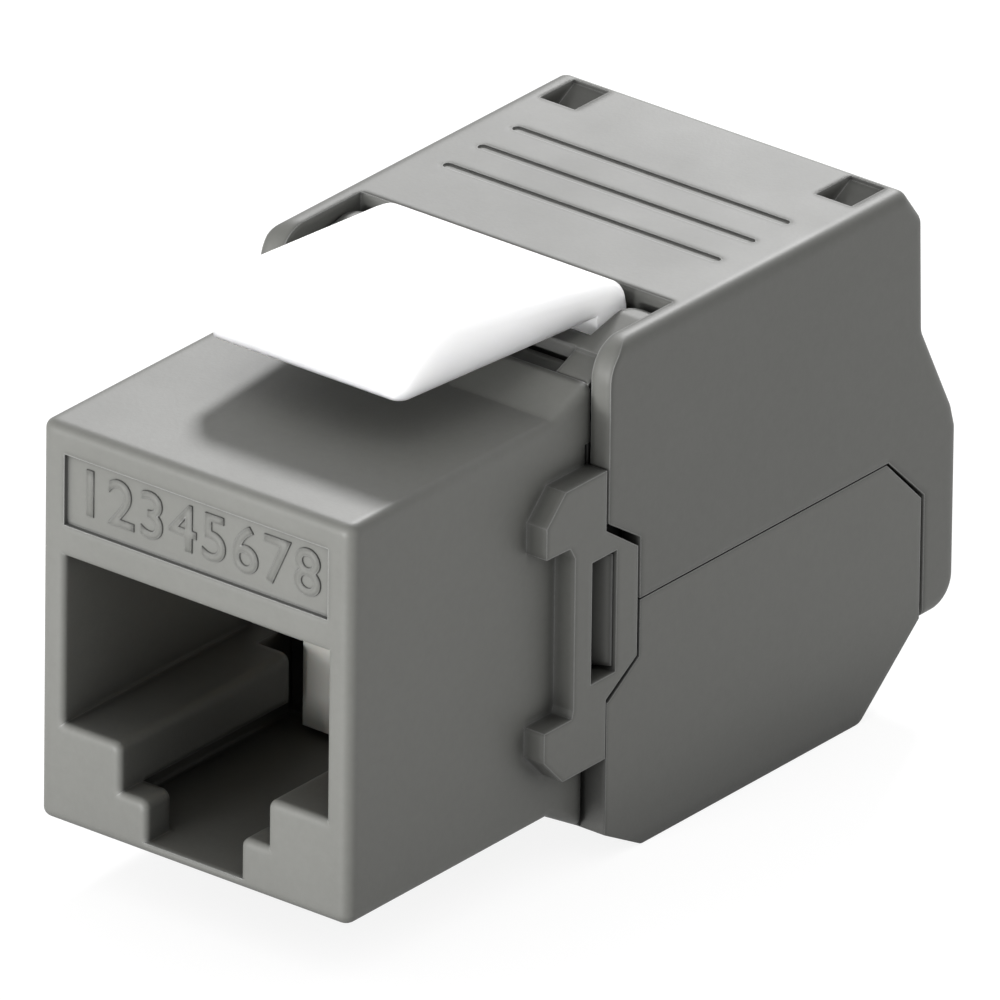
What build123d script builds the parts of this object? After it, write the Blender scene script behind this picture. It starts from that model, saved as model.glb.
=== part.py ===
"""Keystone jack: plug port in front, hinged panel latch on top, press-down wire cover behind.

All sizes are in mm. Depths run back from the front face, heights run up from the underside of
the front housing, and widths are symmetric about x = 0.
"""
import os
from math import hypot

from build123d import *

# Envelope
overall_length = 34.75
housing_lift = 2.35
body_width = 16.4
body_half = body_width / 2
wall = 0.9
fit_gap = 0.1

# Front housing
strap_thickness = 0.95
housing_half = body_half - strap_thickness
housing_height = 16.1
housing_depth = 13.85
front_edge = 0.45
flare_depth = 2.1
flare_rise = 0.75
flare_drop = 1.2
front_wall = 1.9
label_half = 6.15
label_bottom = 12.15
label_top = housing_height - 1.1
label_recess = 0.2
relief_top = housing_height - 1.6

# Plug port and the comb behind it
port_half = 6.15
port_bottom = 4.05
port_top = 10.85
port_depth = 9.8
port_edge = 0.25
comb_front = 11.0
keyway_half = 3.45
keyway_bottom = 2.1
lip_half = 2.2
lip_depth = 1.35
tab_floor = 0.45
undercut_half = 4.95
undercut_depth = 11.85
carrier_top = housing_height - 1.2
foot_half = 3.65
foot_front = 10.9

# Snap straps of the housing and the hooks behind their windows
strap_depth = 15.6
lug_depth = 10.2
strap_front = 11.9
window_front = 12.9
window_rear = 14.35
window_bottom = 5.3
window_top = 10.25
hook_reach = strap_thickness - 0.05

# Panel latch and its trunnion
latch_nose = 6.2
latch_rounding = 0.45
latch_fold = 9.2
axis_depth = 17.15
axis_height = housing_height + 0.3
pin_radius = 0.5
pin_play = 0.05
pin_reach = 1.0
leg_front = axis_depth - 0.65
leg_rear = axis_depth + 1.25
leg_bottom = axis_height - 1
latch_underside = axis_height + 1.65
latch_top = latch_underside + 2.15

# Saddle of the lower body, which carries the latch
bulkhead = 1.35
core_half = housing_half - fit_gap
saddle_inside = core_half - 1.15
saddle_rear = axis_depth + 0.95
saddle_top = axis_height + 1.6
saddle_floor = saddle_top - 5.8
saddle_step = housing_depth + 1.15
pocket_front = axis_depth - 1.35
pocket_half = core_half - 1.45
pocket_floor = axis_height - 1.8
root_half = pocket_half - 0.2
fold_half = root_half - 0.75
nose_half = root_half - 1.03

# Lower body
split_height = 7.7
tub_rear = overall_length - 2.25
tub_floor = 0.85
inner_half = body_half - wall

# Press-down cover
cover_top = saddle_top + 0.45
cover_rear_top = tub_rear - 1.05
foot_bottom = 0.5
seam = 0.07
rear_seam = 0.2
ceiling = 0.8
arm_round = 1.4
notch_rear = leg_rear + 0.2
hole_inner = inner_half - 1.65
hole_front = cover_rear_top - 2.3
hole_rear = cover_rear_top - 0.25
hole_sink = 1.3
groove_pitch = 2.05
groove_middle = (notch_rear + hole_front) / 2 + 0.6
groove_length = 2 * (inner_half - 0.85)
groove_width = 0.42
groove_sink = 0.08
cable_radius = 3.0
cable_height = 8.0

# Contacts and circuit board
contact_count = 8
contact_pitch = 1.02
contact_wire = 0.35
comb_slot = 0.5
gallery_depth = 12.9
contact_run = 1.25
tail_depths = (16.0, 17.4)
board_thickness = 1.0
board_top = 0.1
board_bottom = board_top - board_thickness
board_front = 15.3
board_step = saddle_rear + 0.3
board_rear = tub_rear - 3.4
rail_height = 0.6

# Terminal block, terminals and wire cap
block_front = max(saddle_rear, tail_depths[1] + 0.7) + 0.5
block_rear = tub_rear - 1.7
block_half = inner_half - 0.7
block_top = 6.9
block_shelf = 1.4
trough_half = 2.3
terminal_offset = block_half - 2.0
terminal_pitch = (block_rear - block_shelf - block_front - 0.4) / (contact_count / 2)
terminal_first = block_front + 0.3 + terminal_pitch / 2
terminal_width = terminal_pitch - 0.7
terminal_plate = 0.4
cap_bottom = 7.1
cap_top = cover_top - 6.55
terminal_top = cap_top - 2.3


def at(depth, height):
    """Side-view point as the (y, z) pair of the frame."""
    return (depth - overall_length / 2, height + housing_lift)


def front_plane(depth):
    """Plane across the jack at one depth, seen from the front."""
    return Plane.XZ.offset(overall_length / 2 - depth)


def top_plane(height):
    """Level plane at one height, seen from above."""
    return Plane.XY.offset(height + housing_lift)


def side_prism(points, x_from, x_to, mode=Mode.ADD):
    """Side-view outline extruded between two widths."""
    with BuildSketch(Plane.YZ.offset(x_from)) as outline:
        with BuildLine():
            Polyline(*[at(depth, height) for depth, height in points], close=True)
        make_face()
    extrude(outline.sketch, amount=x_to - x_from, mode=mode)


def front_prism(x_from, x_to, bottom, top, front, rear, mode=Mode.SUBTRACT):
    """Rectangle in the front view, extruded from one depth to another."""
    with BuildSketch(front_plane(front)) as outline:
        with Locations(((x_from + x_to) / 2, (bottom + top) / 2 + housing_lift)):
            Rectangle(x_to - x_from, top - bottom)
    extrude(outline.sketch, amount=front - rear, mode=mode)


def cross_edges(part, depth, height, reach=0.02):
    """Edges across the jack that pass through one side-view point."""
    y, z = at(depth, height)
    lines = part.edges().filter_by(Axis.X)
    return lines.filter_by(lambda line: hypot(line.center().Y - y, line.center().Z - z) < reach)


def in_both_sides():
    return (-1, 1)


def contact_x(index):
    return (index - (contact_count - 1) / 2) * contact_pitch


def tail_depth(index):
    """Tails stand in two staggered rows, the same from both sides."""
    return tail_depths[min(index, contact_count - 1 - index) % 2]


def terminal_places():
    """(x, depth) of every terminal, one bank on each side."""
    return [
        (side * terminal_offset, terminal_first + row * terminal_pitch)
        for side in (-1, 1)
        for row in range(contact_count // 2)
    ]


# Front housing: flared shell, plug port with keyway, label recess, snap straps
strap_outline = (
    (11.3, 13.7),
    (13.7, 13.7),
    (13.7, 11.25),
    (strap_depth, 9.95),
    (strap_depth, 5.5),
    (13.8, 4.35),
    (13.8, 1.95),
    (11.3, 1.95),
    (lug_depth, 3.1),
    (lug_depth, 4.3),
    (strap_front - 0.1, 4.3),
    (strap_front, 4.6),
    (strap_front, 10.8),
    (strap_front - 0.3, 11.3),
    (lug_depth, 11.35),
    (lug_depth, 12.6),
)
flare_start = housing_depth - flare_depth

with BuildPart() as front_housing:
    side_prism(
        (
            (0, 0),
            (flare_start, 0),
            (housing_depth, -flare_drop),
            (housing_depth, housing_height + flare_rise),
            (flare_start, housing_height),
            (0, housing_height),
        ),
        -housing_half,
        housing_half,
    )
    fillet(front_housing.edges().filter_by(Axis.Z).group_by(Axis.Y)[0], front_edge)
    fillet(front_housing.faces().sort_by(Axis.Y)[0].edges().filter_by(Axis.X), 0.35)
    long_edges = front_housing.edges().filter_by(
        lambda line: abs(abs(line.center().X) - housing_half) < 0.01
        and not 1 < line.center().Z - housing_lift < housing_height - 1
    )
    fillet(long_edges, 0.35)
    for side in in_both_sides():
        front_prism(
            *sorted((side * (housing_half - 0.2), side * (housing_half + 1))),
            -flare_drop - 1,
            relief_top,
            housing_depth - 0.3,
            housing_depth + 1,
        )
        side_prism(strap_outline, side * housing_half, side * body_half)
        side_prism(
            (
                (window_front, window_bottom),
                (window_rear, window_bottom),
                (window_rear, window_top),
                (window_front, window_top),
            ),
            side * housing_half,
            side * (body_half + 1),
            Mode.SUBTRACT,
        )
    with BuildSketch(front_plane(0)) as mouth:
        for half, bottom in ((port_half, port_bottom), (keyway_half, keyway_bottom), (lip_half, tab_floor)):
            with Locations((0, (bottom + port_top) / 2 + housing_lift)):
                Rectangle(2 * half, port_top - bottom)
        steps = mouth.vertices().filter_by(
            lambda corner: (round(abs(corner.X), 3), round(corner.Y - housing_lift, 3))
            in ((keyway_half, port_bottom), (lip_half, keyway_bottom))
        )
        fillet(steps, port_edge + 0.1)
    extrude(mouth.sketch, amount=-port_depth, mode=Mode.SUBTRACT)
    front_prism(-port_half, port_half, port_bottom, carrier_top, front_wall, housing_depth)
    front_prism(-undercut_half, undercut_half, tab_floor, keyway_bottom, lip_depth, undercut_depth)
    front_prism(-undercut_half, undercut_half, tab_floor, port_bottom + 1, port_depth, undercut_depth)
    front_prism(-5.2, 5.2, tab_floor + 0.1, port_bottom + 1, undercut_depth, housing_depth)
    face_edges = front_housing.faces().sort_by(Axis.Y)[0].edges()
    mouth_edges = face_edges.filter_by(
        lambda line: abs(line.center().X) < port_half + 0.01
        and tab_floor + 0.01 < line.center().Z - housing_lift < port_top + 0.01
    )
    fillet(mouth_edges, port_edge)
    front_prism(-label_half, label_half, label_bottom, label_top, 0, label_recess)


# Contact carrier: block over the plug port and the comb behind it, slotted for every contact
with BuildPart() as contact_carrier:
    side_prism(
        (
            (front_wall, port_top),
            (comb_front, port_top),
            (comb_front, port_bottom),
            (housing_depth, port_bottom),
            (housing_depth, carrier_top),
            (front_wall, carrier_top),
        ),
        -port_half,
        port_half,
    )
    for index in range(contact_count):
        slot = contact_x(index)
        side_prism(
            (
                (front_wall + 0.5, port_top - 1),
                (comb_front - 1, port_top - 1),
                (comb_front - 1, port_bottom - 1),
                (gallery_depth + 0.35, port_bottom - 1),
                (gallery_depth + 0.35, port_top + 1.75),
                (front_wall + 0.5, port_top + 1.75),
            ),
            slot - comb_slot / 2,
            slot + comb_slot / 2,
            Mode.SUBTRACT,
        )
    side_prism(
        (
            (foot_front, tab_floor + 0.25),
            (foot_front, port_bottom + 0.1),
            (comb_front, port_bottom + 0.1),
            (comb_front, port_bottom + 0.8),
            (undercut_depth, port_bottom + 0.8),
            (undercut_depth, tab_floor + 0.25),
        ),
        -foot_half,
        foot_half,
    )


# Spring contacts: tail in the board, up behind the comb, forward over the port, back as the spring
def spring_contact(index):
    with BuildPart() as contact:
        with BuildLine(Plane.YZ.offset(contact_x(index))) as run:
            tail = Polyline(
                at(tail_depth(index), board_bottom - 0.4),
                at(tail_depth(index), contact_run),
                at(gallery_depth, contact_run),
            )
            FilletPolyline(
                tail @ 1,
                at(gallery_depth, port_top + 1.35),
                at(front_wall + 0.9, port_top + 1.35),
                at(front_wall + 0.9, port_top - 0.35),
                at(comb_front + 0.6, port_top - 2.35),
                radius=0.45,
            )
        with BuildSketch(Plane(origin=tail @ 0, z_dir=tail % 0)):
            Rectangle(contact_wire, contact_wire)
        sweep(path=run.wire(), transition=Transition.RIGHT)
    return contact


# Lower body: tub for the board and terminals, strap hooks, and the saddle that carries the latch
tub_outline = (
    (housing_depth, -flare_drop),
    (housing_depth + 2.15, -housing_lift),
    (tub_rear - 3.5, -housing_lift),
    (tub_rear, 0.65),
    (tub_rear, split_height - 2.1),
    (tub_rear - 2.1, split_height),
    (strap_depth + 0.15, split_height),
    (strap_depth + 0.15, window_bottom + 0.1),
    (housing_depth + 0.1, 4.2),
    (housing_depth, 4.2),
)
floor_top = tub_floor - housing_lift

with BuildPart() as lower_body:
    side_prism(tub_outline, -body_half, body_half)
    side_prism(
        (
            (housing_depth, 0),
            (housing_depth, saddle_top - 1.2),
            (saddle_step, saddle_top - 0.7),
            (saddle_step, saddle_top - 0.55),
            (saddle_rear - 0.7, saddle_top),
            (saddle_rear, saddle_top),
            (saddle_rear, 0),
        ),
        -core_half,
        core_half,
    )
    fillet(cross_edges(lower_body, housing_depth + 2.15, -housing_lift), 0.5)
    fillet(cross_edges(lower_body, tub_rear - 3.5, -housing_lift), 0.6)
    side_prism(
        (
            (saddle_rear, floor_top),
            (tub_rear - 3.9, floor_top),
            (tub_rear - 1.2, 1.0),
            (tub_rear - 1.2, split_height + 1),
            (saddle_rear, split_height + 1),
        ),
        -inner_half,
        inner_half,
        Mode.SUBTRACT,
    )
    front_prism(-saddle_inside, saddle_inside, floor_top, saddle_floor, housing_depth + bulkhead, saddle_rear)
    front_prism(-5.0, 5.0, contact_run - 0.85, contact_run + 1.15, housing_depth, housing_depth + bulkhead)
    front_prism(-pocket_half, pocket_half, pocket_floor, saddle_top + 1, pocket_front, saddle_rear)
    side_prism(
        (
            (housing_depth, saddle_top - 1.47),
            (saddle_step - 0.3, saddle_top - 1.1),
            (saddle_step - 0.3, saddle_top - 2),
            (saddle_step + 0.05, saddle_top - 2),
            (saddle_step + 0.05, saddle_top),
            (housing_depth, saddle_top),
        ),
        -pocket_half + 0.1,
        pocket_half - 0.1,
        Mode.SUBTRACT,
    )
    with BuildSketch(front_plane(tub_rear)) as cradle:
        with Locations((0, cable_height + housing_lift)):
            Circle(cable_radius)
    extrude(cradle.sketch, amount=2, both=True, mode=Mode.SUBTRACT)
    for side in in_both_sides():
        with BuildSketch(Plane.YZ.offset(side * (pocket_half + pin_reach + 0.1))) as bearing:
            with Locations(at(axis_depth, axis_height)):
                Circle(pin_radius + pin_play)
        extrude(bearing.sketch, amount=-side * 2, mode=Mode.SUBTRACT)
        with BuildSketch(top_plane(window_bottom + 0.2)) as hook:
            with BuildLine():
                Polyline(
                    (side * (core_half - 0.3), at(housing_depth, 0)[0]),
                    (side * core_half, at(housing_depth, 0)[0]),
                    (side * (core_half + 0.15), at(housing_depth + 0.05, 0)[0]),
                    (side * (core_half + hook_reach), at(window_rear - 0.05, 0)[0]),
                    (side * (core_half - 0.3), at(window_rear - 0.05, 0)[0]),
                    close=True,
                )
            make_face()
        extrude(hook.sketch, amount=window_top - window_bottom - 0.4)
        front_prism(
            *sorted((side * (saddle_inside - 0.1), side * (saddle_inside + 0.4))),
            floor_top,
            floor_top + rail_height,
            housing_depth + bulkhead,
            tub_rear - 4.5,
            Mode.ADD,
        )
    shoulder_ends = lower_body.edges().filter_by(Axis.Z)
    shoulder_ends = shoulder_ends.filter_by(
        lambda line: abs(line.center().Y - at(saddle_rear, 0)[0]) < 0.01
        and line.center().Z > saddle_floor + housing_lift
        and abs(line.center().X) > pocket_half - 0.1
    )
    fillet(shoulder_ends, 0.6)


# Circuit board on the rails, drilled for contact tails and terminal tails
with BuildPart() as circuit_board:
    with BuildSketch(top_plane(board_bottom)) as board_outline:
        for half, front, rear in (
            (saddle_inside - 0.15, board_front, board_step),
            (inner_half - 0.4, board_step, board_rear),
        ):
            with Locations((0, at((front + rear) / 2, 0)[0])):
                Rectangle(2 * half, rear - front)
    extrude(board_outline.sketch, amount=board_thickness)
    with BuildSketch(top_plane(board_bottom)) as drilling:
        for index in range(contact_count):
            with Locations((contact_x(index), at(tail_depth(index), 0)[0])):
                Circle(contact_wire * 0.85)
        for x, depth in terminal_places():
            with Locations((x, at(depth, 0)[0])):
                Rectangle(terminal_plate + 0.1, 0.8)
    extrude(drilling.sketch, amount=board_thickness, mode=Mode.SUBTRACT)


# Terminal block: two banks of towers either side of the wire trough
with BuildPart() as idc_block:
    front_prism(-block_half, block_half, board_top, block_top, block_front, block_rear - 0.2, Mode.ADD)
    front_prism(-trough_half, trough_half, 1.5, block_top, block_front, block_rear)
    with BuildSketch(top_plane(board_top)) as slots:
        for x, depth in terminal_places():
            with Locations((x, at(depth, 0)[0])):
                Rectangle(terminal_plate + 0.08, terminal_width + 0.1)
    extrude(slots.sketch, amount=block_top, mode=Mode.SUBTRACT)
    front_prism(-block_half, block_half, board_top, 4.4, block_rear - block_shelf, block_rear)


# Forked terminal: tail through the board, plate in the block, fork above it
def forked_terminal(x, depth):
    half = terminal_width / 2
    with BuildPart() as terminal:
        side_prism(
            (
                (depth - 0.35, board_bottom - 0.35),
                (depth + 0.35, board_bottom - 0.35),
                (depth + 0.35, board_top),
                (depth + half, board_top),
                (depth + half, terminal_top - 0.5),
                (depth + 0.45, terminal_top),
                (depth + 0.16, terminal_top - 0.9),
                (depth + 0.16, terminal_top - 3),
                (depth - 0.16, terminal_top - 3),
                (depth - 0.16, terminal_top - 0.9),
                (depth - 0.45, terminal_top),
                (depth - half, terminal_top - 0.5),
                (depth - half, board_top),
                (depth - 0.35, board_top),
            ),
            x - terminal_plate / 2,
            x + terminal_plate / 2,
        )
    return terminal


# Wire cap: channels across it lay every wire over its fork, blade slots from below
with BuildPart() as wire_cap:
    front_prism(-block_half, block_half, cap_bottom, cap_top, block_front, block_rear, Mode.ADD)
    front_prism(-trough_half, trough_half, cap_bottom, cap_top - 1.2, block_front, block_rear)
    fillet(wire_cap.edges().filter_by(Axis.Z).filter_by(lambda line: abs(line.center().X) > block_half - 0.5), 0.6)
    with BuildSketch(top_plane(cap_bottom)) as blade_slots:
        for x, depth in terminal_places():
            with Locations((x, at(depth, 0)[0])):
                Rectangle(terminal_plate + 0.2, terminal_width + 0.3)
    extrude(blade_slots.sketch, amount=terminal_top - cap_bottom + 0.5, mode=Mode.SUBTRACT)
    with BuildSketch(Plane.YZ) as channels:
        for x, depth in terminal_places()[: contact_count // 2]:
            with Locations(at(depth, cap_bottom + 0.6)):
                Rectangle(1.05, 1.3)
    extrude(channels.sketch, amount=body_half, both=True, mode=Mode.SUBTRACT)


# Press-down cover: shell with arms beside the saddle, grooved top, rear foot with the cable slot
cover_outline = (
    (housing_depth, 11.48),
    (housing_depth, cover_top),
    (cover_rear_top, cover_top),
    (tub_rear, cover_top - 1.4),
    (tub_rear + 0.15, 12.4),
    (overall_length - 0.25, 8.7),
    (overall_length, 7.8),
    (overall_length, foot_bottom),
    (tub_rear + rear_seam, foot_bottom),
    (tub_rear + rear_seam, split_height - 2.05),
    (tub_rear - 2.0, split_height + seam),
    (strap_depth + 0.15, split_height + seam),
    (strap_depth + 0.15, window_top),
)
cover_inside = (
    (housing_depth - 1, split_height - 2),
    (tub_rear + rear_seam, split_height - 2),
    (tub_rear + rear_seam, 8.6),
    (tub_rear - 1.1, 12.2),
    (cover_rear_top - 0.15, cover_top - ceiling),
    (housing_depth - 1, cover_top - ceiling),
)
cover_rounds = (
    (cover_rear_top, cover_top, 0.35),
    (tub_rear, cover_top - 1.4, 0.6),
    (tub_rear + 0.15, 12.4, 0.8),
    (overall_length - 0.25, 8.7, 0.6),
    (overall_length, 7.8, 0.6),
    (overall_length, foot_bottom, 1.3),
)

with BuildPart() as upper_cover:
    side_prism(cover_outline, -body_half, body_half)
    for depth, height, radius in cover_rounds:
        fillet(cross_edges(upper_cover, depth, height), radius)
    rim = upper_cover.edges().filter_by(
        lambda line: abs(abs(line.center().X) - body_half) < 0.001
        and (
            line.center().Z > cover_top + housing_lift - 2.5
            or line.center().Y > at(tub_rear + 0.05, 0)[0]
        )
        and not abs(line.center().Y - at(housing_depth, 0)[0]) < 0.01
        and line.center().Z > foot_bottom + housing_lift + 0.01
        and not (abs(line.center().Y - at(tub_rear + rear_seam, 0)[0]) < 0.01)
    )
    fillet(rim, 0.5)
    with BuildSketch(Plane.YZ) as arm_corner:
        with Locations(at(housing_depth, cover_top)):
            Rectangle(arm_round, arm_round, align=(Align.MIN, Align.MAX))
        with Locations(at(housing_depth + arm_round, cover_top - arm_round)):
            Circle(arm_round, mode=Mode.SUBTRACT)
    extrude(arm_corner.sketch, amount=body_half, both=True, mode=Mode.SUBTRACT)
    side_prism(cover_inside, -inner_half, inner_half, Mode.SUBTRACT)
    with BuildSketch(top_plane(cover_top - 3)) as notch:
        with Locations((0, at((notch_rear + 10) / 2, 0)[0])):
            Rectangle(2 * inner_half, notch_rear - 10)
    extrude(notch.sketch, amount=5, mode=Mode.SUBTRACT)
    with BuildSketch(top_plane(cover_top)) as grooves:
        with Locations((0, at(groove_middle, 0)[0])):
            with GridLocations(0, groove_pitch, 1, 3):
                SlotOverall(groove_length, groove_width)
    extrude(grooves.sketch, amount=-groove_sink, mode=Mode.SUBTRACT)
    for side in in_both_sides():
        block_from, block_to = sorted((side * (hole_inner - 0.6), side * (inner_half + 0.1)))
        front_prism(
            block_from,
            block_to,
            cover_top - hole_sink - 0.6,
            cover_top - ceiling + 0.1,
            hole_front - 0.6,
            cover_rear_top,
            Mode.ADD,
        )
        side_prism(
            (
                (hole_front, cover_top + 0.5),
                (hole_front, cover_top - hole_sink),
                (hole_rear, cover_top - 0.15),
                (hole_rear, cover_top + 0.5),
            ),
            *sorted((side * hole_inner, side * inner_half)),
            Mode.SUBTRACT,
        )
    for side in in_both_sides():
        front_prism(
            *sorted((side * 4.2, side * 5.0)),
            cap_top,
            cover_top - ceiling + 0.1,
            block_front + 0.6,
            block_rear - 2.2,
            Mode.ADD,
        )
        front_prism(
            *sorted((side * (inner_half - 0.55), side * (inner_half - 0.07))),
            0.6,
            cover_top - 4,
            block_front + 2.4,
            tub_rear - 5.5,
            Mode.ADD,
        )
        front_prism(
            *sorted((side * (inner_half - 0.55), side * (inner_half + 0.1))),
            split_height + 0.6,
            cover_top - 4,
            block_front + 2.4,
            tub_rear - 5.5,
            Mode.ADD,
        )
    with BuildSketch(front_plane(overall_length + 1)) as cable_slot:
        with Locations((0, cable_height + housing_lift)):
            Circle(cable_radius)
        with Locations((0, cable_height / 2 + housing_lift - 1)):
            Rectangle(2 * cable_radius, cable_height + 2)
    extrude(cable_slot.sketch, amount=5, mode=Mode.SUBTRACT)


# Panel latch: tapered arm with a rounded nose, and a leg that turns on two pins in the saddle
with BuildPart() as panel_latch:
    with BuildSketch(Plane.YZ.offset(-root_half - 0.5)) as latch_side:
        with BuildLine():
            nose = TangentArc(
                at(latch_nose + 2.6, latch_top),
                at(latch_nose, latch_underside),
                tangent=(-1, 0),
            )
            crown = Line(nose @ 0, at(latch_fold, latch_top))
            slope = Line(crown @ 1, at(leg_rear - 0.95, latch_underside + 1.01))
            curl = TangentArc(slope @ 1, at(leg_rear, latch_underside - 0.08), tangent=slope % 1)
            Polyline(
                curl @ 1,
                at(leg_rear, leg_bottom),
                at(leg_front, leg_bottom),
                at(leg_front, latch_underside),
                at(latch_nose, latch_underside),
            )
        make_face()
    extrude(latch_side.sketch, amount=2 * root_half + 1)
    with BuildSketch(top_plane(leg_bottom - 1)) as latch_plan:
        with BuildLine():
            Polyline(
                (-nose_half, at(latch_nose - 0.1, 0)[0]),
                (nose_half, at(latch_nose - 0.1, 0)[0]),
                (fold_half, at(latch_fold, 0)[0]),
                (root_half, at(axis_depth - 0.15, 0)[0]),
                (root_half, at(leg_rear + 1, 0)[0]),
                (-root_half, at(leg_rear + 1, 0)[0]),
                (-root_half, at(axis_depth - 0.15, 0)[0]),
                (-fold_half, at(latch_fold, 0)[0]),
                close=True,
            )
        make_face()
    extrude(latch_plan.sketch, amount=8, mode=Mode.INTERSECT)
    crest = panel_latch.edges().filter_by(Axis.X, reverse=True)
    crest = crest.filter_by(
        lambda line: line.center().Z > latch_underside + housing_lift + 0.3
        and abs(line.center().X) > nose_half - 0.1
        and abs(line.tangent_at(0.5).Z) < 0.95
    )
    fillet(crest, latch_rounding)
    fillet(cross_edges(panel_latch, leg_front, latch_underside), 0.5)
    fillet(cross_edges(panel_latch, leg_front, leg_bottom), 0.3)
    fillet(cross_edges(panel_latch, leg_rear, leg_bottom), 0.5)
    with BuildSketch(Plane.YZ.offset(-pocket_half - pin_reach)) as pins:
        with Locations(at(axis_depth, axis_height)):
            Circle(pin_radius)
    extrude(pins.sketch, amount=2 * (pocket_half + pin_reach))


pieces = {
    "front_housing": front_housing,
    "contact_carrier": contact_carrier,
    "lower_body": lower_body,
    "circuit_board": circuit_board,
    "idc_block": idc_block,
    "wire_cap": wire_cap,
    "upper_cover": upper_cover,
    "panel_latch": panel_latch,
}
for index in range(contact_count):
    pieces[f"contact_{index + 1}"] = spring_contact(index)
for index, (x, depth) in enumerate(terminal_places()):
    pieces[f"idc_terminal_{index + 1}"] = forked_terminal(x, depth)

os.makedirs("parts", exist_ok=True)
for name, piece in pieces.items():
    piece.part.label = name
    export_step(piece.part, f"parts/{name}.step")
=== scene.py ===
"""Keystone jack: finishes for every moulded and metal piece, white latch, pin numerals, stage."""
import math

import bmesh
import bpy
from mathutils import Matrix, Vector


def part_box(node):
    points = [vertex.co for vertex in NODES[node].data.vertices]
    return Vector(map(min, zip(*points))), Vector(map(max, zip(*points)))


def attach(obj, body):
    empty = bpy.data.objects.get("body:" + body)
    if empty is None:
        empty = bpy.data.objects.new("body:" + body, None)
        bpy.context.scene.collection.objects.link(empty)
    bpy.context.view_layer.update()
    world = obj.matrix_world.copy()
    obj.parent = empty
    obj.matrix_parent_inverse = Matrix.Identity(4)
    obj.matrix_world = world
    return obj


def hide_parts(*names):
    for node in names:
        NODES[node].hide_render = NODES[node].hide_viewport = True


bl_info = {
    "name": "Keystone Jack",
    "version": (1, 0, 0),
    "blender": (4, 5, 0),
    "location": "View3D > Sidebar > Keystone Jack",
    "description": "Finishes, pin numerals and studio stage for a keystone jack",
    "category": "Object",
}

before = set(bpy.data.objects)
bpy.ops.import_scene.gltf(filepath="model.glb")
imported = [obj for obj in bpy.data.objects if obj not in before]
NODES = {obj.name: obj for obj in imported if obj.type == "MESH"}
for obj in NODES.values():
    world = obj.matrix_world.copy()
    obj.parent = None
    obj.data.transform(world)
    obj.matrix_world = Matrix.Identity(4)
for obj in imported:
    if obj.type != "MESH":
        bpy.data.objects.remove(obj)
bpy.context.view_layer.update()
MM = 0.001
BLACK = (0.0, 0.0, 0.0)
WHITE = (1.0, 1.0, 1.0)

CONTACTS = [name for name in sorted(NODES) if name.startswith("contact_") and name != "contact_carrier"]
TERMINALS = [name for name in sorted(NODES) if name.startswith("idc_terminal_")]

# Painted shade in joints and hollows: a reach in metres, then pairs of openness and brightness.
TIGHT_JOINT_SHADE = (0.0011, ((0.2, 0.35), (0.8, 1.0)))
FAINT_JOINT_SHADE = (0.0006, ((0.0, 0.6), (0.3, 1.0)))
PORT_HOLLOW_SHADE = (0.012, ((0.0, 0.4), (0.3, 0.55), (0.6, 0.88), (0.85, 1.0)))
SADDLE_HOLLOW_SHADE = (0.007, ((0.0, 0.08), (0.35, 0.28), (0.7, 0.85), (0.9, 1.0)))
GROOVE_HOLLOW_SHADE = (0.004, ((0.0, 0.3), (0.3, 0.8), (0.5, 1.0)))

# Latch, seen from the side: places before its rear end, thickness of the arm, slope behind the knee.
LATCH_WAIST = 1.4 * MM
LATCH_LEG = 1.9 * MM
LATCH_KNEE = 9.2 * MM
LATCH_TIP = 12.2 * MM
LATCH_THICKNESS = 2.15 * MM
LATCH_SLOPE = Vector((8.25, -1.14)) * MM
LATCH_CREST = 0.45 * MM
LATCH_CURL = 1.1 * MM

# How far the sides at the waist, the knee and the tip stand back from the ends of the pins.
LATCH_INSETS = (1.2 * MM, 1.95 * MM, 2.23 * MM)

# Axle of the pins from the middle of the rear top edge of its box, and their radius.
LATCH_AXLE = Vector((0.0, -1.25, -3.8)) * MM
LATCH_PIN = 0.5 * MM

# Label panel in the front face, and the row of pin numerals in it.
LABEL_RECESS = 0.2 * MM
LABEL_MIDDLE = 15.925 * MM
PIN_COUNT = 8
PIN_SPACING = 1.45 * MM
CAP_HEIGHT = 0.72

# Camera: the point it looks past, and how far the jack lies from the middle of the picture.
VIEW_TARGET = Vector((0.0, -2.375, 10.35)) * MM
VIEW_SHIFT = Vector((-1.7598, -1.3303)) * MM

# Lamps: their places, and their widths and heights.
KEY_PLACE = Vector((-0.224, 0.41, 0.318))
KEY_SIZE = (0.1, 0.06)
FRONT_PLACE = Vector((-0.09, -0.63, 0.02))
FRONT_SIZE = (0.25, 0.12)


class Wire:
    """An output socket. Python operators between wires and numbers add Math nodes."""

    def __init__(self, tree, socket):
        self.tree = tree
        self.socket = socket

    def math(self, operation, first, second):
        node = self.tree.nodes.new("ShaderNodeMath")
        node.operation = operation
        for place, value in enumerate((first, second)):
            if isinstance(value, Wire):
                self.tree.links.new(value.socket, node.inputs[place])
            else:
                node.inputs[place].default_value = value
        return Wire(self.tree, node.outputs[0])

    def __add__(self, other):
        return self.math("ADD", self, other)

    def __radd__(self, other):
        return self.math("ADD", other, self)

    def __sub__(self, other):
        return self.math("SUBTRACT", self, other)

    def __rsub__(self, other):
        return self.math("SUBTRACT", other, self)

    def __mul__(self, other):
        return self.math("MULTIPLY", self, other)


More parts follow.
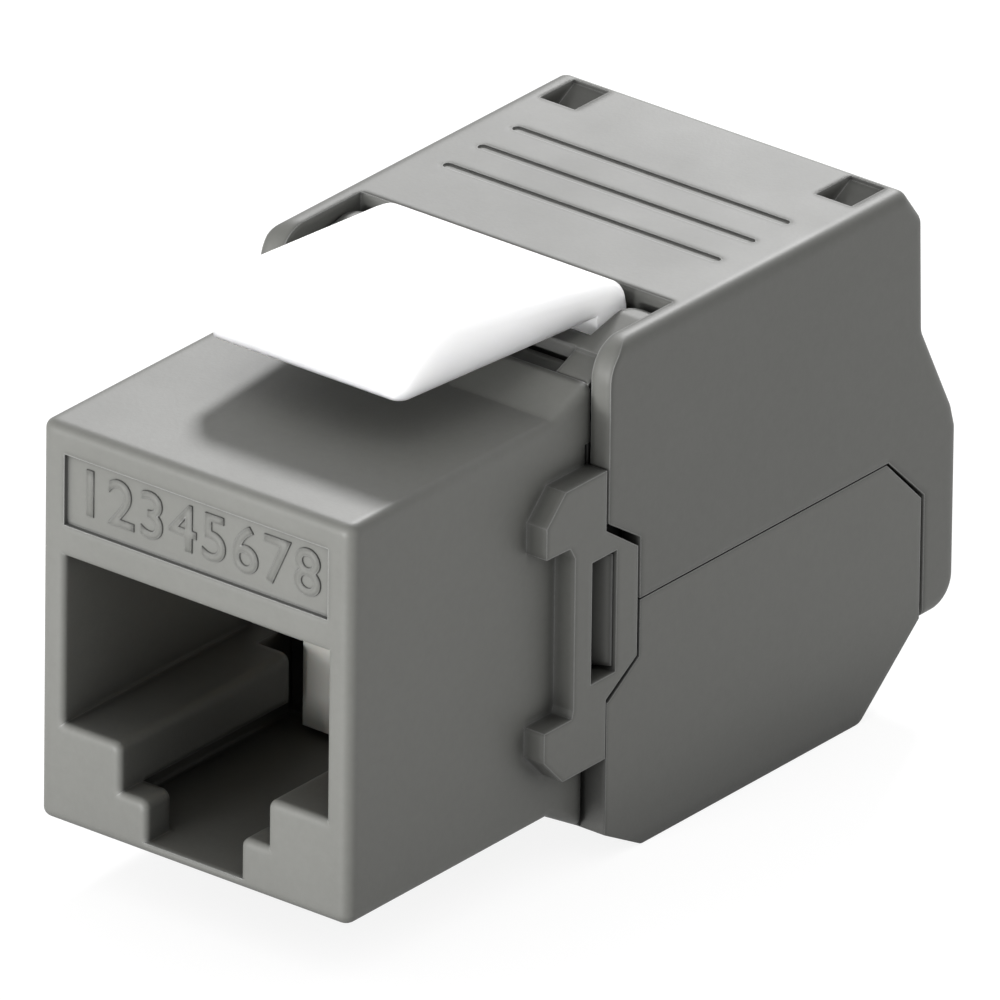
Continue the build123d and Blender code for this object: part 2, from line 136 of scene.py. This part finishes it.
class Finish:
    """A material whose surface is one Principled shader, with nodes added through node()."""

    def __init__(self, name, **constants):
        self.material = bpy.data.materials.new(name)
        self.material.use_nodes = True
        self.tree = self.material.node_tree
        self.surface = self.tree.nodes["Principled BSDF"]
        for socket, value in constants.items():
            self.surface.inputs[socket.replace("_", " ")].default_value = value

    def node(self, kind, settings=None, inputs=None, output=0):
        """Adds a node: its settings first, then values or wires on its inputs."""
        node = self.tree.nodes.new(kind)
        for name, value in (settings or {}).items():
            setattr(node, name, value)
        for name, value in (inputs or {}).items():
            if isinstance(value, Wire):
                self.tree.links.new(value.socket, node.inputs[name])
            else:
                node.inputs[name].default_value = value
        return Wire(self.tree, node.outputs[output])

    def place(self):
        """Position on the piece, in metres."""
        return self.node("ShaderNodeTexCoord", output="Object")

    def noise(self, size, detail=2.0, roughness=0.5, stretch=None):
        """Noise from 0 to 1 whose lumps are about one size, in metres."""
        place = self.place()
        if stretch:
            place = self.node("ShaderNodeMapping", None, {"Vector": place, "Scale": stretch})
        return self.node(
            "ShaderNodeTexNoise",
            None,
            {"Vector": place, "Scale": 1.0 / size, "Detail": detail, "Roughness": roughness},
        )

    def ramp(self, amount, stops):
        """Brightness read from an amount, by stops that are pairs of amount and brightness."""
        node = self.tree.nodes.new("ShaderNodeValToRGB")
        while len(node.color_ramp.elements) < len(stops):
            node.color_ramp.elements.new(0.5)
        for stop, (place, shade) in zip(node.color_ramp.elements, stops):
            stop.position = place
            stop.color = (shade, shade, shade, 1.0)
        self.tree.links.new(amount.socket, node.inputs["Fac"])
        return Wire(self.tree, node.outputs[0])

    def mix(self, first, second, amount):
        """Colour from the first colour or wire, at amount 0, to the second, at amount 1."""
        first, second = (end if isinstance(end, Wire) else (*end, 1.0) for end in (first, second))
        inputs = {"Factor": amount, "A": first, "B": second}
        return self.node("ShaderNodeMix", {"data_type": "RGBA"}, inputs, output=2)

    def openness(self, reach, stops):
        """1 on open faces, lower in joints and hollows within a real reach in metres."""
        shade = self.node("ShaderNodeAmbientOcclusion", {"samples": 8}, {"Distance": reach}, output=1)
        return self.ramp(shade, stops)

    def corners(self, radius):
        """Rises from 0 on flat faces towards 1 along sharp edges, within a real radius in metres."""
        soft = self.node("ShaderNodeBevel", {"samples": 4}, {"Radius": radius})
        plain = self.node("ShaderNodeNewGeometry", output="Normal")
        normals = {0: soft, 1: plain}
        along = self.node("ShaderNodeVectorMath", {"operation": "DOT_PRODUCT"}, normals, output="Value")
        return (1.0 - along) * 3.0

    def feed(self, socket, wire):
        """Links a wire to a socket of the surface."""
        self.tree.links.new(wire.socket, self.surface.inputs[socket])

    def relief(self, height, depth, rounding=0.0):
        """Bump of a real depth in metres, over edges softened by a real radius."""
        inputs = {"Height": height, "Distance": depth, "Strength": 1.0}
        if rounding:
            inputs["Normal"] = self.node("ShaderNodeBevel", {"samples": 8}, {"Radius": rounding})
        self.feed("Normal", self.node("ShaderNodeBump", None, inputs))


def toward(colour, other, share):
    """Plain colour moved towards another by a share."""
    return tuple(a + (b - a) * share for a, b in zip(colour, other))


def add_object(name, data):
    """New object in the scene."""
    made = bpy.data.objects.new(name, data)
    bpy.context.scene.collection.objects.link(made)
    return made


def axes(right, up, back):
    """Rotation to three square directions."""
    return Matrix((right, up, back)).transposed().to_4x4()


def wear(names, material):
    """Gives the named frame nodes one material."""
    for name in names:
        mesh = NODES[name].data
        mesh.materials.clear()
        mesh.materials.append(material)


class JackShellLook(bpy.types.PropertyGroup):
    """Grey plastic of the housing, the lower body, the cover and the wire cap."""

    colour: bpy.props.FloatVectorProperty(
        name="Plastic colour",
        description="Base colour of the grey moulded plastic",
        subtype="COLOR",
        size=3,
        min=0.0,
        max=1.0,
        default=(0.100, 0.101, 0.092),
    )
    gloss: bpy.props.FloatProperty(
        name="Roughness",
        description="Mean roughness of the moulded surface",
        min=0.0,
        max=1.0,
        subtype="FACTOR",
        default=0.52,
    )
    grain: bpy.props.FloatProperty(
        name="Grain depth",
        description="Depth of the spark-eroded mould grain",
        subtype="DISTANCE",
        unit="LENGTH",
        min=0.0,
        max=0.0001,
        precision=6,
        default=0.000004,
    )
    edge: bpy.props.FloatProperty(
        name="Edge radius",
        description="Softening of the sharp moulded edges",
        subtype="DISTANCE",
        unit="LENGTH",
        min=0.0,
        max=0.001,
        precision=6,
        default=0.0003,
    )


class JackLatchLook(bpy.types.PropertyGroup):
    """White plastic of the panel latch."""

    colour: bpy.props.FloatVectorProperty(
        name="Latch colour",
        description="Base colour of the white latch",
        subtype="COLOR",
        size=3,
        min=0.0,
        max=1.0,
        default=(0.95, 0.95, 0.945),
    )
    gloss: bpy.props.FloatProperty(
        name="Roughness",
        description="Roughness of the white latch",
        min=0.0,
        max=1.0,
        subtype="FACTOR",
        default=0.42,
    )


class JackInsideLook(bpy.types.PropertyGroup):
    """Nylon, board and metal inside the jack."""

    carrier: bpy.props.FloatVectorProperty(
        name="Carrier colour",
        description="Base colour of the contact carrier",
        subtype="COLOR",
        size=3,
        min=0.0,
        max=1.0,
        default=(0.27, 0.268, 0.25),
    )
    nylon: bpy.props.FloatVectorProperty(
        name="Nylon colour",
        description="Base colour of the terminal block",
        subtype="COLOR",
        size=3,
        min=0.0,
        max=1.0,
        default=(0.62, 0.61, 0.57),
    )
    board: bpy.props.FloatVectorProperty(
        name="Board colour",
        description="Solder mask of the circuit board",
        subtype="COLOR",
        size=3,
        min=0.0,
        max=1.0,
        default=(0.03, 0.14, 0.06),
    )
    gold: bpy.props.FloatVectorProperty(
        name="Contact plating",
        description="Plating of the spring contacts",
        subtype="COLOR",
        size=3,
        min=0.0,
        max=1.0,
        default=(0.83, 0.62, 0.28),
    )
    tin: bpy.props.FloatVectorProperty(
        name="Terminal plating",
        description="Plating of the forked terminals",
        subtype="COLOR",
        size=3,
        min=0.0,
        max=1.0,
        default=(0.62, 0.62, 0.6),
    )


class JackNumeralLook(bpy.types.PropertyGroup):
    """Raised pin numerals in the recessed label panel."""

    height: bpy.props.FloatProperty(
        name="Numeral height",
        description="Height of each raised numeral",
        subtype="DISTANCE",
        unit="LENGTH",
        min=0.0005,
        max=0.0028,
        precision=5,
        default=0.0019,
    )
    relief: bpy.props.FloatProperty(
        name="Relief",
        description="How far the numerals stand out of the panel",
        subtype="DISTANCE",
        unit="LENGTH",
        min=0.0,
        max=0.0002,
        precision=6,
        default=0.00009,
    )


class JackStageLook(bpy.types.PropertyGroup):
    """Camera, lamps, floor and background."""

    azimuth: bpy.props.FloatProperty(
        name="Azimuth",
        description="Camera direction round the jack, 0 in front of the port",
        subtype="ANGLE",
        unit="ROTATION",
        default=math.radians(38.244),
    )
    elevation: bpy.props.FloatProperty(
        name="Elevation",
        description="Camera direction above the horizon",
        subtype="ANGLE",
        unit="ROTATION",
        default=math.radians(25.88),
    )
    roll: bpy.props.FloatProperty(
        name="Roll",
        description="Tilt of the camera about its own axis",
        subtype="ANGLE",
        unit="ROTATION",
        default=math.radians(0.71),
    )
    distance: bpy.props.FloatProperty(
        name="Distance",
        description="Camera distance from the point it looks past",
        subtype="DISTANCE",
        unit="LENGTH",
        min=0.2,
        max=3.0,
        default=1.35,
    )
    focal: bpy.props.FloatProperty(
        name="Focal length",
        description="Lens length in millimetres on a 36 mm sensor",
        min=50.0,
        max=3000.0,
        default=1326.1,
    )
    key: bpy.props.FloatProperty(
        name="Key power",
        description="Power of the strip lamp behind the left side",
        subtype="POWER",
        unit="POWER",
        min=0.0,
        max=50.0,
        default=2.65,
    )
    front: bpy.props.FloatProperty(
        name="Front power",
        description="Power of the soft lamp before the port",
        subtype="POWER",
        unit="POWER",
        min=0.0,
        max=50.0,
        default=8.9,
    )
    sky: bpy.props.FloatProperty(
        name="Sky level",
        description="Brightness of the surroundings that light the jack",
        min=0.0,
        max=2.0,
        default=0.89,
    )


class JACK_OT_shell_finish(bpy.types.Operator):
    """Finish the grey moulded pieces in satin plastic with a fine mould grain"""

    bl_idname = "jack.shell_finish"
    bl_label = "Grey plastic"

    def execute(self, context):
        look = context.scene.jack_shell
        housing = grey_plastic("housing_plastic", look, 0.0, 1.3, TIGHT_JOINT_SHADE, PORT_HOLLOW_SHADE)
        body = grey_plastic("body_plastic", look, 0.07, 1.0, TIGHT_JOINT_SHADE, SADDLE_HOLLOW_SHADE)
        cover = grey_plastic("cover_plastic", look, 0.16, 1.5, FAINT_JOINT_SHADE, GROOVE_HOLLOW_SHADE)
        wear(["front_housing"], housing)
        wear(["lower_body"], body)
        wear(["upper_cover", "wire_cap"], cover)
        return {"FINISHED"}


class JACK_OT_latch_finish(bpy.types.Operator):
    """Mould the panel latch with its rounded nose, in white plastic"""

    bl_idname = "jack.latch_finish"
    bl_label = "White latch"

    def execute(self, context):
        plastic = white_plastic(context.scene.jack_latch)
        wear(["panel_latch"], plastic)
        lever = latch_lever("latch_lever", *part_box("panel_latch"))
        lever.data.materials.append(plastic)
        context.view_layer.update()
        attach(lever, "latch")
        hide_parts("panel_latch")
        return {"FINISHED"}


class JACK_OT_inside_finish(bpy.types.Operator):
    """Finish the nylon, board and metal pieces inside"""

    bl_idname = "jack.inside_finish"
    bl_label = "Inner pieces"

    def execute(self, context):
        look = context.scene.jack_inside
        wear(["contact_carrier"], nylon("grey_nylon", look.carrier))
        wear(["idc_block"], nylon("pale_nylon", look.nylon))
        wear(["circuit_board"], board_laminate(look.board))
        wear(CONTACTS, plated_metal("contact_gold", look.gold, 0.22))
        wear(TERMINALS, plated_metal("terminal_tin", look.tin, 0.34))
        return {"FINISHED"}


class JACK_OT_numerals(bpy.types.Operator):
    """Raise the pin numerals in the label panel over the port"""

    bl_idname = "jack.numerals"
    bl_label = "Pin numerals"

    def execute(self, context):
        look = context.scene.jack_numerals
        low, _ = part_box("front_housing")
        plastic = NODES["front_housing"].data.materials[0]
        for pin in range(1, PIN_COUNT + 1):
            numeral = raised_numeral(f"pin_numeral_{pin}", str(pin), look.height, look.relief)
            across = (pin - (PIN_COUNT + 1) / 2) * PIN_SPACING
            numeral.location = (across, low.y + LABEL_RECESS, LABEL_MIDDLE)
            numeral.data.materials.append(plastic)
            context.view_layer.update()
            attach(numeral, "base")
        return {"FINISHED"}


class JACK_OT_stage(bpy.types.Operator):
    """Set the camera, the lamps, the floor and the background"""

    bl_idname = "jack.stage"
    bl_label = "Stage"

    def execute(self, context):
        look = context.scene.jack_stage
        aim_camera(look)
        lay_floor()
        light_background(look.sky)
        upright_lamp("key_strip", KEY_PLACE, KEY_SIZE, look.key)
        upright_lamp("front_soft", FRONT_PLACE, FRONT_SIZE, look.front)
        return {"FINISHED"}


class JACK_PT_panel(bpy.types.Panel):
    """Buttons for every group of pieces"""

    bl_label = "Keystone Jack"
    bl_space_type = "VIEW_3D"
    bl_region_type = "UI"
    bl_category = "Keystone Jack"

    def draw(self, context):
        for operator, group in STEPS:
            box = self.layout.box()
            box.operator(operator.bl_idname)
            look = getattr(context.scene, group)
            for name in look.__annotations__:
                box.prop(look, name)


STEPS = (
    (JACK_OT_shell_finish, "jack_shell"),
    (JACK_OT_latch_finish, "jack_latch"),
    (JACK_OT_inside_finish, "jack_inside"),
    (JACK_OT_numerals, "jack_numerals"),
    (JACK_OT_stage, "jack_stage"),
)
LOOKS = {
    "jack_shell": JackShellLook,
    "jack_latch": JackLatchLook,
    "jack_inside": JackInsideLook,
    "jack_numerals": JackNumeralLook,
    "jack_stage": JackStageLook,
}


def grey_plastic(name, look, shade, softness, joint_shade, hollow_shade):
    """Satin grey plastic: clouding, fine mould grain, painted highlight on sharp edges, painted shade in
    joints and hollows.
    """
    finish = Finish(name, Specular_IOR_Level=0.4)
    colour = toward(look.colour, BLACK, shade)
    clouds = finish.noise(0.006, 3.0, 0.6)
    specks = finish.noise(0.00035, 2.0, 0.7)
    mottle = clouds * 0.6 + specks * 0.4
    plain = finish.mix(toward(colour, BLACK, 0.1), toward(colour, WHITE, 0.03), mottle)
    # Painted shade: openness of joints and hollows, low where shade falls.
    clear = finish.openness(*joint_shade) * finish.openness(*hollow_shade)
    # Painted highlight: sharp open edges made paler, as if catching light.
    edge_highlighted = finish.mix(plain, toward(colour, WHITE, 0.24), finish.corners(0.0001) * clear)
    # Painted shade: base colour mixed towards black where joints and hollows are less open.
    finish.feed("Base Color", finish.mix(BLACK, edge_highlighted, clear))
    finish.feed("Roughness", look.gloss - 0.06 + clouds * 0.12)
    grain = finish.noise(0.00016, 3.0, 0.65)
    sinks = finish.noise(0.004, 1.0, 0.4)
    finish.relief(grain + sinks * 2.0, look.grain, look.edge * softness)
    return finish.material


def white_plastic(look):
    """White plastic that lets a little light through its thin edges."""
    finish = Finish(
        "white_plastic",
        Roughness=look.gloss,
        Subsurface_Weight=1.0,
        Subsurface_Scale=0.004,
        Subsurface_Radius=(1.0, 1.0, 0.95),
        Specular_IOR_Level=0.45,
    )
    clouds = finish.noise(0.004, 2.0, 0.5)
    finish.feed("Base Color", finish.mix(toward(look.colour, BLACK, 0.03), look.colour, clouds))
    finish.relief(finish.noise(0.0002, 2.0, 0.6), 0.000002, 0.0001)
    return finish.material


def nylon(name, colour):
    """Nylon with a soft sheen."""
    finish = Finish(name, Roughness=0.48, Subsurface_Weight=0.1, Subsurface_Scale=0.001)
    clouds = finish.noise(0.003, 2.0, 0.5)
    finish.feed("Base Color", finish.mix(toward(colour, BLACK, 0.08), colour, clouds))
    finish.relief(finish.noise(0.00022, 2.0, 0.6), 0.000003, 0.00006)
    return finish.material


def board_laminate(colour):
    """Glass laminate under solder mask, with copper tracks showing as a lighter green."""
    finish = Finish("board_laminate", Roughness=0.35)
    bands = finish.node(
        "ShaderNodeTexWave",
        {"wave_type": "BANDS", "bands_direction": "X"},
        {"Vector": finish.place(), "Scale": 320.0, "Distortion": 3.0, "Detail": 1.0},
        output="Fac",
    )
    tracks = finish.ramp(bands, ((0.55, 0.0), (0.62, 1.0)))
    finish.feed("Base Color", finish.mix(colour, toward(colour, (0.2, 0.6, 0.25), 0.35), tracks))
    finish.relief(tracks, 0.00002)
    return finish.material


def plated_metal(name, colour, roughness):
    """Plated metal with the fine drawing lines of strip and wire."""
    finish = Finish(name, Metallic=1.0)
    lines = finish.noise(0.00012, 2.0, 0.6, stretch=(1.0, 0.12, 0.12))
    finish.feed("Base Color", finish.mix(toward(colour, BLACK, 0.15), colour, lines))
    finish.feed("Roughness", roughness - 0.05 + lines * 0.12)
    finish.relief(lines, 0.000002)
    return finish.material


def arc(start, heading, turn, radius, steps):
    """Points after the start of an arc that turns left where turn is positive."""
    reach = math.copysign(radius, turn)
    centre = start + Vector((-math.sin(heading), math.cos(heading))) * reach
    spoke = start - centre
    return [centre + Matrix.Rotation(turn * step / steps, 2) @ spoke for step in range(1, steps + 1)]


def latch_profile(rear, top, bottom):
    """Side outlines of the latch: arm, middle and heel, then its whole rim, then its crest."""
    waist, leg, knee, tip = (rear - back for back in (LATCH_WAIST, LATCH_LEG, LATCH_KNEE, LATCH_TIP))
    underside = top - LATCH_THICKNESS
    knee_top = Vector((knee, top))
    knee_low = Vector((knee, underside))
    slope_end = knee_top + LATCH_SLOPE
    waist_top = knee_top + LATCH_SLOPE * (waist - knee) / LATCH_SLOPE.x
    waist_low = Vector((waist, bottom))
    leg_low = Vector((leg, bottom))
    leg_top = Vector((leg, underside))
    lean = math.atan2(LATCH_SLOPE.y, LATCH_SLOPE.x)
    curl = arc(slope_end, lean, -math.pi / 2 - lean, LATCH_CURL, 6)

    nose_top = Vector((knee - 0.4 * MM, top))
    run = nose_top.x - tip
    drop = top - underside
    radius = (run * run + drop * drop) / (2 * drop)
    nose = arc(nose_top, math.pi, math.atan2(run, radius - drop), radius, 12)
    nose.reverse()

    arm = [nose_top, knee_top, knee_low, *nose]
    middle = [knee_top, waist_top, waist_low, leg_low, leg_top, knee_low]
    heel = [waist_top, slope_end, *curl, Vector((rear, bottom)), waist_low]
    rim = [nose_top, knee_top, *heel, leg_low, leg_top, knee_low, *nose]
    crest = [*nose, nose_top, knee_top, waist_top, slope_end, *curl]
    return (arm, middle, heel), rim, crest


def two_sided(outlines, rim, crest, half_width):
    """Solid between two mirrored sides, and the edges of its crest on both of them."""
    shape = bmesh.new()
    corners = {}
    edges = []
    for side in (-1, 1):
        for point in rim:
            corners[side, tuple(point)] = shape.verts.new((side * half_width(point.x), *point))
        for outline in outlines:
            shape.faces.new([corners[side, tuple(point)] for point in outline])
    for point, following in zip(rim, rim[1:] + rim[:1]):
        ring = ((-1, point), (1, point), (1, following), (-1, following))
        shape.faces.new([corners[side, tuple(place)] for side, place in ring])
    bmesh.ops.recalc_face_normals(shape, faces=shape.faces)
    for side in (-1, 1):
        for ends in zip(crest, crest[1:]):
            edges.append(shape.edges.get([corners[side, tuple(place)] for place in ends]))
    return shape, edges


def add_pin(shape, axle, inner, outer):
    """Round pin along the axle, between two places across the jack."""
    middle = axle + Vector(((inner + outer) / 2, 0, 0))
    bmesh.ops.create_cone(
        shape,
        cap_ends=True,
        segments=32,
        radius1=LATCH_PIN,
        radius2=LATCH_PIN,
        depth=abs(outer - inner),
        matrix=Matrix.Translation(middle) @ Matrix.Rotation(math.radians(90), 4, "Y"),
    )


def latch_lever(name, low, high):
    """Latch on the place of its CAD node: tapered arm, rounded crest and nose, leg and two pins."""
    at_waist, at_knee, at_tip = (high.x - inset for inset in LATCH_INSETS)

    def half_width(place):
        before = high.y - place
        if before > LATCH_KNEE:
            return at_knee + (at_tip - at_knee) * (before - LATCH_KNEE) / (LATCH_TIP - LATCH_KNEE)
        return at_knee + (at_waist - at_knee) * min((LATCH_KNEE - before) / (LATCH_KNEE - LATCH_WAIST), 1.0)

    outlines, rim, crest = latch_profile(high.y, high.z, low.z)
    shape, edges = two_sided(outlines, rim, crest, half_width)
    bmesh.ops.bevel(
        shape,
        geom=edges,
        offset=LATCH_CREST,
        offset_type="OFFSET",
        segments=5,
        profile=0.5,
        affect="EDGES",
        clamp_overlap=False,
    )
    axle = Vector((0.0, high.y, high.z)) + LATCH_AXLE
    for side in (-1, 1):
        add_pin(shape, axle, side * (at_waist - 0.05 * MM), side * high.x)
    mesh = bpy.data.meshes.new(name)
    shape.to_mesh(mesh)
    shape.free()
    mesh.shade_smooth()
    mesh.set_sharp_from_angle(angle=math.radians(32))
    return add_object(name, mesh)


def raised_numeral(name, text, height, relief):
    """One numeral as a mesh that stands out towards the front."""
    curve = bpy.data.curves.new(name, "FONT")
    curve.body = text
    curve.size = height / CAP_HEIGHT
    curve.align_x = "CENTER"
    curve.align_y = "CENTER"
    curve.extrude = relief * 0.4
    curve.bevel_depth = relief * 0.4
    curve.bevel_resolution = 3
    outline = add_object(name, curve)
    bpy.context.view_layer.update()
    mesh = bpy.data.meshes.new_from_object(outline)
    mesh.name = name
    mesh.transform(Matrix.Rotation(math.radians(90), 4, "X"))
    bpy.data.objects.remove(outline)
    bpy.data.curves.remove(curve)
    return add_object(name, mesh)


def aim_camera(look):
    """Camera at the view that was fitted to measured points of the front, the side and the cover."""
    level = math.cos(look.elevation)
    right = Vector((math.cos(look.azimuth), math.sin(look.azimuth), 0.0))
    back = Vector(
        (math.sin(look.azimuth) * level, -math.cos(look.azimuth) * level, math.sin(look.elevation))
    )
    turn = axes(right, back.cross(right), back) @ Matrix.Rotation(look.roll, 4, "Z")
    shift = Vector((*VIEW_SHIFT, -look.distance))
    camera_data = bpy.data.cameras.new("camera")
    camera_data.lens = look.focal
    camera_data.sensor_width = 36.0
    camera_data.sensor_fit = "HORIZONTAL"
    camera_data.clip_start = 0.05
    camera_data.clip_end = 10.0
    camera = add_object("camera", camera_data)
    camera.matrix_world = Matrix.Translation(VIEW_TARGET - turn.to_3x3() @ shift) @ turn
    bpy.context.scene.camera = camera


def rays(tree, *kinds):
    """1 on rays of the named kinds, 0 on others."""
    path = tree.nodes.new("ShaderNodeLightPath")
    total = Wire(tree, path.outputs[kinds[0]])
    for kind in kinds[1:]:
        total = total + Wire(tree, path.outputs[kind])
    return total


def lay_floor():
    """Plain pale floor that the camera sees as white, with the jack's soft shadow kept."""
    size = 3.0
    level = -0.05 * MM
    corners = [(-size, -size, level), (size, -size, level), (size, size, level), (-size, size, level)]
    mesh = bpy.data.meshes.new("floor")
    mesh.from_pydata(corners, [], [(0, 1, 2, 3)])
    floor = add_object("floor", mesh)
    finish = Finish("floor", Roughness=0.9, Specular_IOR_Level=0.0, Emission_Strength=1.0)
    seen = rays(finish.tree, "Is Camera Ray", "Is Glossy Ray")
    finish.feed("Base Color", finish.mix((0.75, 0.75, 0.75), (0.22, 0.22, 0.22), seen))
    finish.feed("Emission Color", finish.mix(BLACK, (0.84, 0.84, 0.84), seen))
    mesh.materials.append(finish.material)


def light_background(level):
    """Even surroundings: white where they are seen, dimmer where they light the jack."""
    world = bpy.data.worlds.new("surroundings")
    world.use_nodes = True
    bpy.context.scene.world = world
    tree = world.node_tree
    seen = rays(tree, "Is Camera Ray", "Is Glossy Ray", "Is Transmission Ray")
    strength = level + seen * (1.0 - level)
    background = tree.nodes["Background"]
    background.inputs["Color"].default_value = (*WHITE, 1.0)
    tree.links.new(strength.socket, background.inputs["Strength"])


def upright_lamp(name, place, size, power):
    """Rectangular lamp that shines from its place on the jack, with size its width and height."""
    lamp_data = bpy.data.lights.new(name, "AREA")
    lamp_data.shape = "RECTANGLE"
    lamp_data.size, lamp_data.size_y = size
    lamp_data.energy = power
    back = place.normalized()
    side = Vector((0, 0, 1)).cross(back).normalized()
    lamp = add_object(name, lamp_data)
    lamp.matrix_world = Matrix.Translation(place) @ axes(side, back.cross(side), back)


def register():
    for group in LOOKS.values():
        bpy.utils.register_class(group)
    for operator, _ in STEPS:
        bpy.utils.register_class(operator)
    bpy.utils.register_class(JACK_PT_panel)
    for name, group in LOOKS.items():
        setattr(bpy.types.Scene, name, bpy.props.PointerProperty(type=group))


def unregister():
    for name in LOOKS:
        delattr(bpy.types.Scene, name)
    bpy.utils.unregister_class(JACK_PT_panel)
    for operator, _ in STEPS:
        bpy.utils.unregister_class(operator)
    for group in LOOKS.values():
        bpy.utils.unregister_class(group)


def main():
    register()
    scene = bpy.context.scene
    scene.view_settings.view_transform = "Standard"
    bpy.ops.jack.shell_finish()
    bpy.ops.jack.latch_finish()
    bpy.ops.jack.inside_finish()
    bpy.ops.jack.numerals()
    bpy.ops.jack.stage()
    bpy.context.view_layer.update()


if __name__ == "__main__":
    main()
